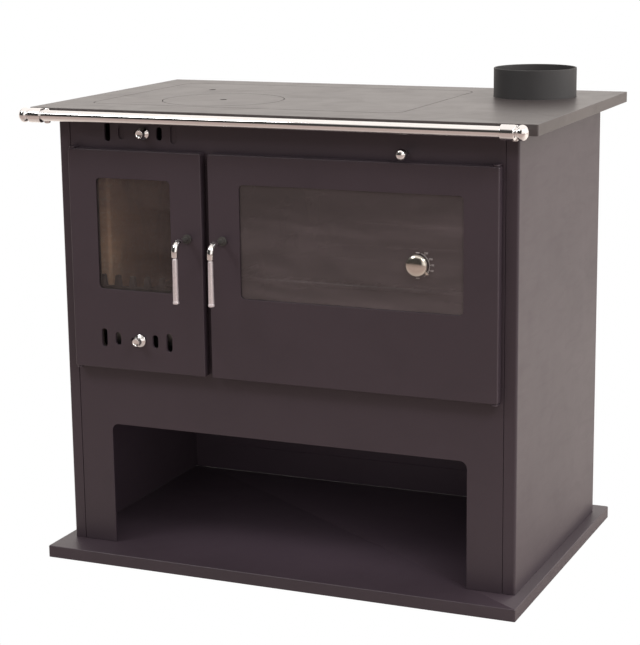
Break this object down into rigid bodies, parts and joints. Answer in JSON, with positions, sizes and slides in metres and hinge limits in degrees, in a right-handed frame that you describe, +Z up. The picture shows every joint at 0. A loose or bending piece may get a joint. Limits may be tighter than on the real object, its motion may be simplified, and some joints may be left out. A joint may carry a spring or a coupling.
{
  "type": "wood cookstove",
  "caption": "Wood-burning cookstove on a base plate: glazed firebox door, glazed oven door, open wood store, hob with lift-out insert and lid, flue collar and chrome rail.",
  "frame": {"origin": "on the floor under the middle of the base plate", "axes": "+X to the right seen from the front, +Y towards the back, +Z up"},
  "size_m": [0.85, 0.5597, 0.797],
  "materials": {
    "painted_casing": "matt heat-resistant paint, dark purple brown",
    "hob_enamel": "smooth dark grey cooking plate, half gloss",
    "flue_paint": "matt black stove paint",
    "inner_steel": "plain rolled sheet, dulled by heat",
    "cast_iron": "rough casting",
    "chrome": "polished chrome plate",
    "satin_chrome": "satin chrome plate",
    "zinc_steel": "zinc plated steel",
    "firebrick": "buff firebrick, matt and grainy",
    "rope_seal": "braided heat-proof rope, grey",
    "oven_enamel": "dark speckled enamel",
    "stove_glass": "heat-proof glass, lightly smoked"
  },
  "bodies": {
    "casing": {"base_plate": "painted_casing", "left_side_panel": "painted_casing", "right_side_panel": "painted_casing", "upper_front_panel": "painted_casing", "lower_front_panel": "painted_casing", "left_door_post": "painted_casing", "right_door_post": "painted_casing", "oven_frame": "painted_casing", "back_panel": "painted_casing", "firebox_hinge_upper": "painted_casing", "firebox_hinge_lower": "painted_casing", "oven_hinge_upper": "painted_casing", "oven_hinge_lower": "painted_casing", "hob_plate": "hob_enamel", "flue_collar": "flue_paint", "wood_store_ceiling": "inner_steel", "hearth_shelf": "inner_steel", "flue_box": "inner_steel", "firebox_shell": "inner_steel", "damper_rod_guide": "inner_steel", "soot_cover": "inner_steel", "grate_bed": "cast_iron", "grate": "cast_iron", "log_guard": "cast_iron", "rail_tube": "chrome", "rail_end_left": "chrome", "rail_end_right": "chrome", "rail_bracket_left": "chrome", "rail_bracket_right": "chrome", "ash_pan": "zinc_steel", "oven_rack": "zinc_steel", "brick_left": "firebrick", "brick_right": "firebrick", "brick_back": "firebrick", "oven_liner": "oven_enamel", "baking_tray": "oven_enamel"},
    "firebox_door": {"firebox_door_panel": "painted_casing", "firebox_door_liner": "inner_steel", "firebox_door_glass": "stove_glass", "firebox_door_gasket": "rope_seal"},
    "oven_door": {"oven_door_panel": "painted_casing", "oven_door_liner": "inner_steel", "oven_door_glass": "stove_glass", "oven_door_gasket": "rope_seal", "thermometer_stem": "zinc_steel"},
    "firebox_handle": {"firebox_latch": "cast_iron", "firebox_handle": "chrome", "firebox_grip": "satin_chrome"},
    "oven_handle": {"oven_latch": "cast_iron", "oven_handle": "chrome", "oven_grip": "satin_chrome"},
    "lower_air": {"lower_air_slider": "zinc_steel", "lower_air_knob": "satin_chrome"},
    "upper_air": {"upper_air_slider": "zinc_steel", "upper_air_knob": "satin_chrome"},
    "damper": {"damper_rod": "zinc_steel", "damper_ball": "chrome"},
    "thermometer": {"thermometer_cap": "chrome"},
    "insert": {"hob_insert": "hob_enamel"},
    "lid": {"hob_lid": "hob_enamel"}
  },
  "joints": [
    {"name": "firebox_door", "type": "hinge", "parent": "casing", "child": "firebox_door", "pos_m": [-0.358, -0.226, 0.505], "axis": [0, 0, -1], "range_deg": [0, 110]},
    {"name": "oven_door", "type": "hinge", "parent": "casing", "child": "oven_door", "pos_m": [0.358, -0.226, 0.505], "axis": [0, 0, 1], "range_deg": [0, 110]},
    {"name": "firebox_handle", "type": "hinge", "parent": "firebox_door", "child": "firebox_handle", "pos_m": [-0.151, -0.2315, 0.5485], "axis": [0, 1, 0], "range_deg": [0, 90]},
    {"name": "oven_handle", "type": "hinge", "parent": "oven_door", "child": "oven_handle", "pos_m": [-0.089, -0.2315, 0.5485], "axis": [0, -1, 0], "range_deg": [0, 90]},
    {"name": "lower_air", "type": "slide", "parent": "firebox_door", "child": "lower_air", "axis": [-1, 0, 0], "range_m": [0, 0.014]},
    {"name": "upper_air", "type": "slide", "parent": "casing", "child": "upper_air", "axis": [-1, 0, 0], "range_m": [0, 0.014]},
    {"name": "damper", "type": "slide", "parent": "casing", "child": "damper", "axis": [0, -1, 0], "range_m": [0, 0.06]},
    {"name": "thermometer", "type": "hinge", "parent": "oven_door", "child": "thermometer", "pos_m": [0.235, -0.2315, 0.53], "axis": [0, -1, 0], "range_deg": [0, 120]},
    {"name": "insert_lift", "type": "slide", "parent": "casing", "child": "insert", "axis": [0, 0, 1], "range_m": [0, 0.15]},
    {"name": "lid_lift", "type": "slide", "parent": "insert", "child": "lid", "axis": [0, 0, 1], "range_m": [0, 0.15]}
  ]
}
